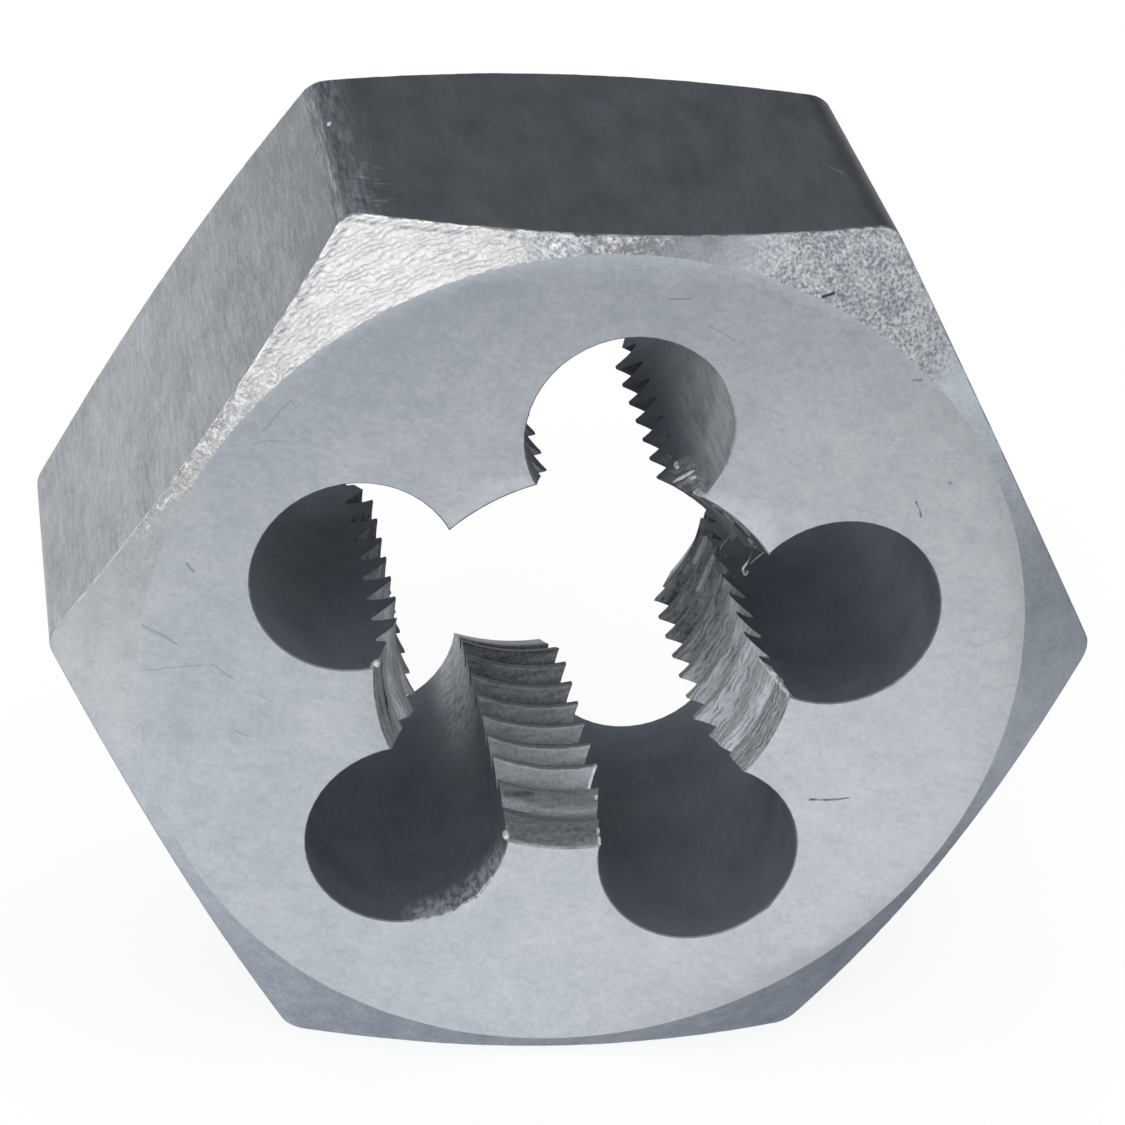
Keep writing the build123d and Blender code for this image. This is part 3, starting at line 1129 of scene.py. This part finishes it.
worn = hatch.ramp(0.6, 0.74) * 0.24 + mottle.ramp(0.54, 0.7) * 0.3
bright = 0.55 + (clouds - 0.5) * 0.8 + (mottle - 0.5) * 1.0 + (grain - 0.5) * 1.2
# Painted shade towards the top, and painted light towards the right and at the lower right
bright = bright - worn - z.ramp(5, 14) * 0.44 + (x.ramp(-13, 13) - 0.5) * 0.4
bright = bright + x.ramp(3, 10) * (1 - z.ramp(-12, -8)) * 0.2
colour = shade(bright - scratched * 0.6, *GROUND_COLOURS)
colour = shade(scratched * 0.8, colour, SCRATCH_COLOUR)
height = grain * 0.5 + hatch * 0.4 + mottle * 0.5 - scratched * 2
finish_steel(colour, 0.36 + grain * 0.1 + clouds * 0.06, height, depth=0.008)

# The bore's mouth in the face, and where it meets a chip hole, seen from the axis and the hole
mouth_radius = LEAD_RADIUS + RIM_BREAK
mouth_end = hole_half_angle(mouth_radius, CHIP_RADIUS + RIM_BREAK)
corner_turn = wall_angle(0, polar(mouth_radius, hole_angle(0) + mouth_end, 0))


def broken_rims(end, y_face):
    """Narrow bevels from walls and lands up to a face, and the outline they leave in it."""
    outline = []
    for hole in range(CHIP_HOLES):
        rim = hole_rims[hole][end]
        angles = [wall_angle(hole, point) for point in rim]
        bevel = []
        for a in angles:
            a *= corner_turn / abs(angles[0] if a > 0 else angles[-1])
            bevel.append(wall_point(hole, a, y_face, RIM_BREAK))
        skin.grid([rim, bevel], HOLE)
        outline += reversed(bevel)
        start = hole_angle(hole) + mouth_end
        finish = hole_angle(hole + 1) - mouth_end
        angles = [start + (finish - start) * t for t in np.linspace(0, 1, LAND_STEPS + 1)]
        bevel = [polar(mouth_radius, a, y_face) for a in angles]
        skin.grid([land_rims[hole][end], bevel], RIM)
        outline += bevel[1:-1]
    return outline


def inside(loop, x, y):
    """Whether a point is inside a closed loop of points."""
    ax, ay = loop[:, 0], loop[:, 1]
    bx, by = np.roll(ax, -1), np.roll(ay, -1)
    crossing = (ay > y) != (by > y)
    rise = np.where(crossing, by - ay, 1)
    return bool(np.count_nonzero(crossing & (x < ax + (bx - ax) * (y - ay) / rise)) % 2)


def face_filling(inner_loop):
    """Points of a triangular grid inside a face, clear of its rim and its openings."""
    points = []
    reach = int(face_radius / FACE_GRID) + 1
    for i in range(-reach, reach + 1):
        for j in range(-reach, reach + 1):
            point = np.array(((i + 0.5 * (j % 2)) * FACE_GRID, j * FACE_GRID * math.sqrt(0.75)))
            clear = np.min(np.linalg.norm(inner_loop - point, axis=1)) > CLEAR_OF_EDGES
            if clear and np.linalg.norm(point) < face_radius - CLEAR_OF_EDGES:
                if not inside(inner_loop, *point):
                    points.append(point)
    return points


for end, y_face in enumerate((-depth_half, depth_half)):
    inner = broken_rims(end, y_face)
    outer = [column[0 if end == 0 else -1] for column in columns[:-1]]
    inner_loop = np.array([(p[0], p[2]) for p in inner])
    outer_loop = np.array([(p[0], p[2]) for p in outer])
    flat_points = list(inner_loop) + list(outer_loop) + face_filling(inner_loop)
    loops = [range(len(inner)), range(len(inner), len(inner) + len(outer))]
    edges = [(loop[i - 1], loop[i]) for loop in loops for i in range(len(loop))]
    flat_points = [Vector(p) for p in flat_points]
    verts, _, faces, *_ = delaunay_2d_cdt(flat_points, edges, [], 0, SAME_PLACE)
    numbers = skin.add([(v.x, y_face, v.y) for v in verts])
    for face in faces:
        centre = sum((verts[n] for n in face), Vector((0, 0))) / len(face)
        if inside(outer_loop, *centre) and not inside(inner_loop, *centre):
            skin.face([numbers[n] for n in face], FACE)

# Finished die
# One piece of hardened tool steel. The surfaces above are joined into one closed skin, sharp
# at the worked edges and smooth between them, and it takes the place of the CAD part.
SAME_POINT = 0.0008 * mm
NO_LENGTH = 0.0001 * mm
SHARP_FOLD = math.radians(38)

die_mesh = bpy.data.meshes.new("steel_die")
die_mesh.from_pydata([Vector(p) * mm for p in skin.points], [], skin.faces)
die_mesh.polygons.foreach_set("material_index", skin.zones)
shell = bmesh.new()
shell.from_mesh(die_mesh)
bmesh.ops.remove_doubles(shell, verts=shell.verts, dist=SAME_POINT)
bmesh.ops.dissolve_degenerate(shell, edges=shell.edges, dist=NO_LENGTH)
bmesh.ops.recalc_face_normals(shell, faces=shell.faces)
for face in shell.faces:
    face.smooth = True
for edge in shell.edges:
    on_chamfer = all(face.material_index == CHAMFER for face in edge.link_faces)
    edge.smooth = on_chamfer or edge.calc_face_angle(0) < SHARP_FOLD
shell.to_mesh(die_mesh)
shell.free()
for material in finishes:
    die_mesh.materials.append(material)
die = bpy.data.objects.new("steel_die", die_mesh)
bpy.context.scene.collection.objects.link(die)
evened = die.modifiers.new("even_shading", "WEIGHTED_NORMAL")
evened.keep_sharp = True

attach(die, "root")
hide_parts("hex_die")
